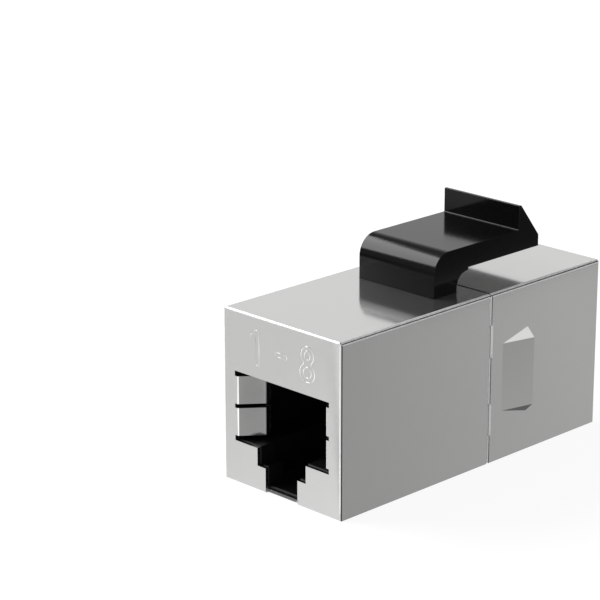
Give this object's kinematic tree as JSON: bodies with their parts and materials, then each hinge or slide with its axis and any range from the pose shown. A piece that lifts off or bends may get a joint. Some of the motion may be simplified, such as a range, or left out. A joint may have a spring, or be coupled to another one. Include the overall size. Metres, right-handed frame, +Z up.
{
  "type": "rj45 inline coupler",
  "caption": "Shielded keystone inline coupler: folded metal shells with a modular jack at each end, sprung contacts on a board inside and a moulded snap latch on top.",
  "frame": {"origin": "bottom centre: halfway along and across the coupler, on its underside", "axes": "+Z up through the snap latch, Y along the coupler with the end nearest the latch's root at -Y, X across the width"},
  "size_m": [0.0166, 0.0356, 0.0231],
  "materials": {
    "plated_shield": "polished",
    "black_housing": "satin",
    "black_latch": "gloss",
    "contact_carrier": "matte",
    "gilt_contact": "polished",
    "circuit_board": "satin"
  },
  "bodies": {
    "root": {"front_shield": "plated_shield", "rear_shield": "plated_shield", "front_housing": "black_housing", "rear_housing": "black_housing", "keystone_latch": "black_latch", "front_contact_carrier": "contact_carrier", "rear_contact_carrier": "contact_carrier", "circuit_board": "circuit_board", "front_contact_1": "gilt_contact", "front_contact_2": "gilt_contact", "front_contact_3": "gilt_contact", "front_contact_4": "gilt_contact", "front_contact_5": "gilt_contact", "front_contact_6": "gilt_contact", "front_contact_7": "gilt_contact", "front_contact_8": "gilt_contact", "rear_contact_1": "gilt_contact", "rear_contact_2": "gilt_contact", "rear_contact_3": "gilt_contact", "rear_contact_4": "gilt_contact", "rear_contact_5": "gilt_contact", "rear_contact_6": "gilt_contact", "rear_contact_7": "gilt_contact", "rear_contact_8": "gilt_contact"}
  },
  "joints": []
}
